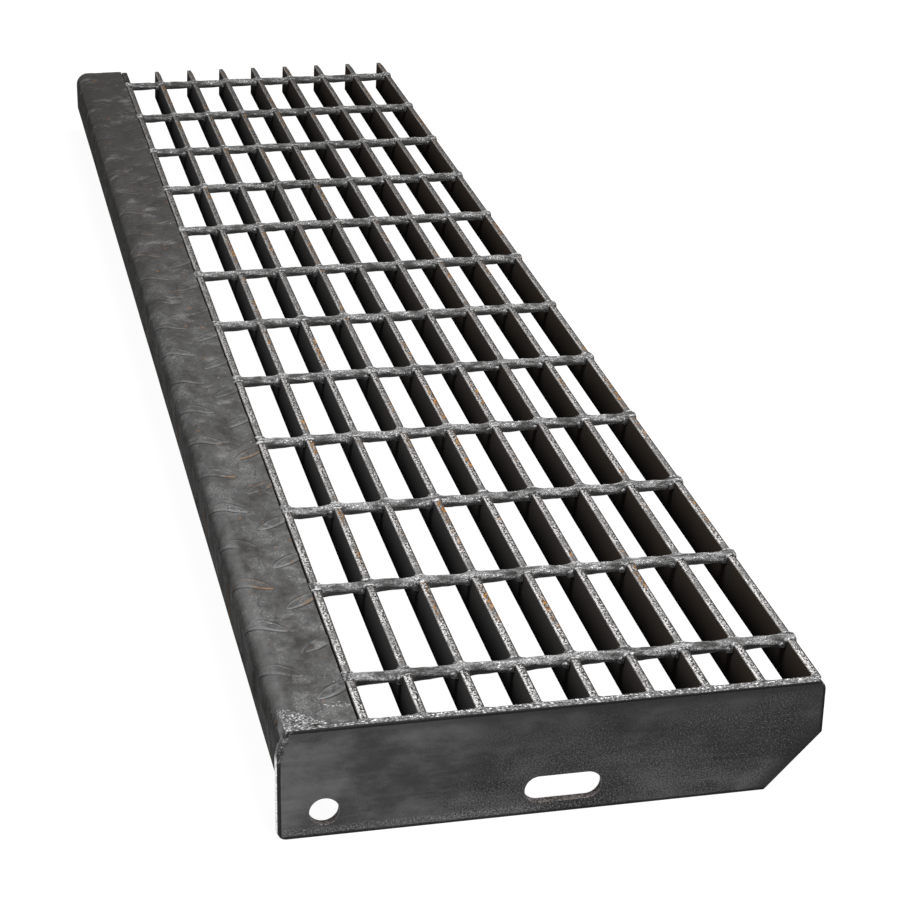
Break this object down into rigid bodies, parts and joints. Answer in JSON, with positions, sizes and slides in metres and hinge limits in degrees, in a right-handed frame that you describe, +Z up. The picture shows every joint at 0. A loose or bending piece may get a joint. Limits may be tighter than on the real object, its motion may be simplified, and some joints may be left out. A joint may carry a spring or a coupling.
{
  "type": "stair tread",
  "caption": "Steel bar-grating stair tread with twisted cross rods, a folded checkered nosing and a punched end plate that bolts to a stringer.",
  "frame": {"origin": "middle of the tread's length and width, level with the end plate's lower edge", "axes": "+X along the tread towards the end plate, +Y from the nosing to the back, +Z up"},
  "size_m": [1.211, 0.291, 0.0651],
  "materials": {
    "bar_steel": "mill scale, bright rubbed top edges with specks of rust",
    "rod_steel": "forged mill steel with a dull sheen",
    "nosing_steel": "hot-rolled checkered plate, dark mill scale",
    "plate_steel": "hot-rolled flat bar, mottled mill scale",
    "weld_metal": "weld metal, partly ground bright"
  },
  "bodies": {
    "root": {"bearing_bar_1": "bar_steel", "bearing_bar_2": "bar_steel", "bearing_bar_3": "bar_steel", "bearing_bar_4": "bar_steel", "bearing_bar_5": "bar_steel", "bearing_bar_6": "bar_steel", "bearing_bar_7": "bar_steel", "bearing_bar_8": "bar_steel", "bearing_bar_9": "bar_steel", "cross_rod_01": "rod_steel", "cross_rod_02": "rod_steel", "cross_rod_03": "rod_steel", "cross_rod_04": "rod_steel", "cross_rod_05": "rod_steel", "cross_rod_06": "rod_steel", "cross_rod_07": "rod_steel", "cross_rod_08": "rod_steel", "cross_rod_09": "rod_steel", "cross_rod_10": "rod_steel", "cross_rod_11": "rod_steel", "cross_rod_12": "rod_steel", "nosing": "nosing_steel", "end_plate": "plate_steel", "bar_end_welds": "weld_metal", "corner_weld": "weld_metal", "tack_welds": "weld_metal"}
  },
  "joints": []
}
